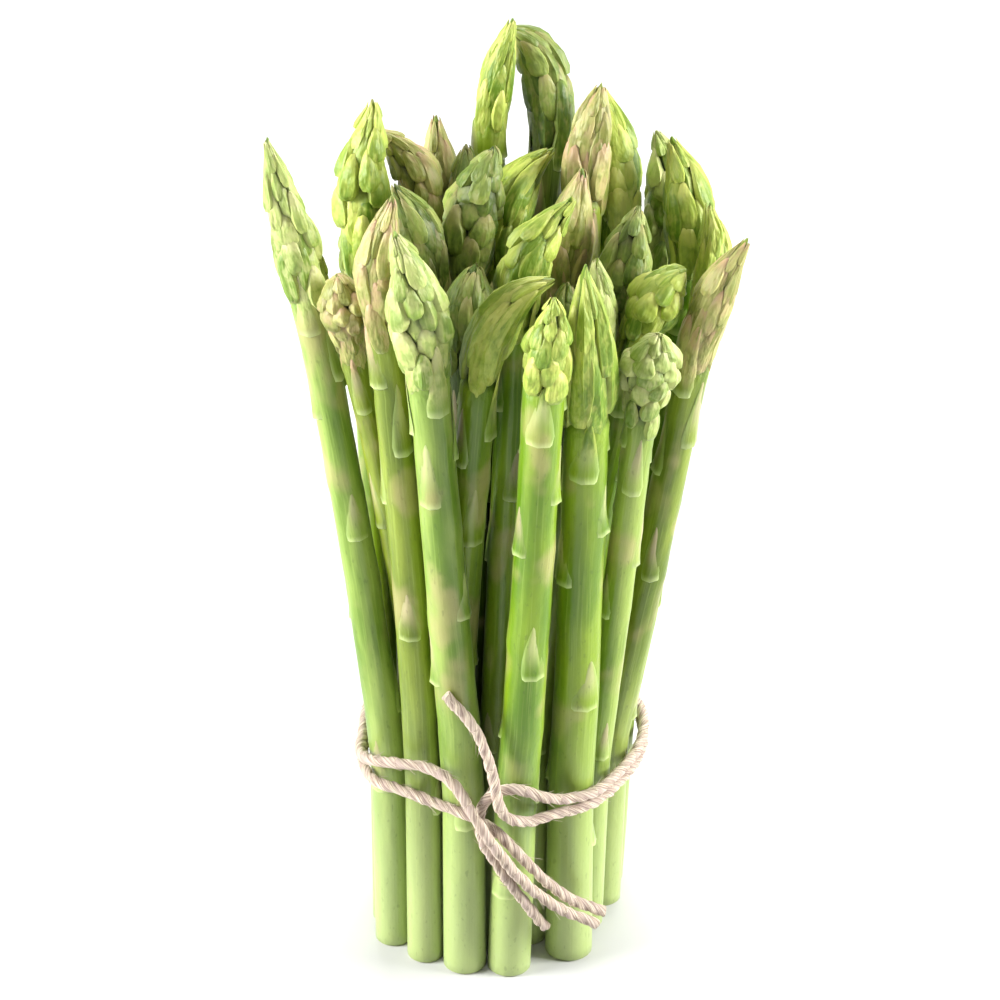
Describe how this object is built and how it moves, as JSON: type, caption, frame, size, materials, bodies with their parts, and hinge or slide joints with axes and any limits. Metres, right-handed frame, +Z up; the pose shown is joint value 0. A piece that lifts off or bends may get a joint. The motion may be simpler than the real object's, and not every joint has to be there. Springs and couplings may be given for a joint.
{
  "type": "bundle of asparagus",
  "caption": "Upright bundle of fresh green asparagus spears with scaly tips, cut level at the foot and tied low with twine.",
  "frame": {"origin": "on the ground plane, at the centre of the cut end of the spear in the middle of the bundle", "axes": "+Z up the spears from their cut ends to their tips, -Y to the front with the knot, +X to the viewer's right seen from the front"},
  "size_m": [0.1284, 0.114, 0.2642],
  "materials": {
    "spear_bright": "fresh yellow-green skin, satin, with a thin waxy bloom",
    "spear_pale": "pale grey-green skin, satin, with a heavier waxy bloom",
    "spear_dark": "dull dark green skin, satin",
    "spear_blush": "olive-green skin, satin, with pinkish-brown scales",
    "twine": "soft twisted beige plant-fibre twine, matt"
  },
  "bodies": {
    "root": {"spear_01": "spear_pale", "spear_02": "spear_blush", "spear_03": "spear_pale", "spear_04": "spear_bright", "spear_05": "spear_bright", "spear_06": "spear_pale", "spear_07": "spear_blush", "spear_08": "spear_bright", "spear_09": "spear_bright", "spear_10": "spear_pale", "spear_11": "spear_pale", "spear_12": "spear_bright", "spear_13": "spear_bright", "spear_14": "spear_blush", "spear_15": "spear_bright", "spear_16": "spear_bright", "spear_17": "spear_dark", "spear_18": "spear_dark", "spear_19": "spear_bright", "spear_20": "spear_dark", "spear_21": "spear_dark", "spear_22": "spear_blush", "spear_23": "spear_dark", "spear_24": "spear_bright", "spear_25": "spear_dark", "spear_26": "spear_bright", "spear_27": "spear_blush", "spear_28": "spear_bright", "spear_29": "spear_dark", "spear_30": "spear_dark", "spear_31": "spear_blush", "spear_32": "spear_blush", "spear_33": "spear_bright", "spear_34": "spear_dark", "spear_35": "spear_dark", "twine_1": "twine", "twine_2": "twine"}
  },
  "joints": []
}
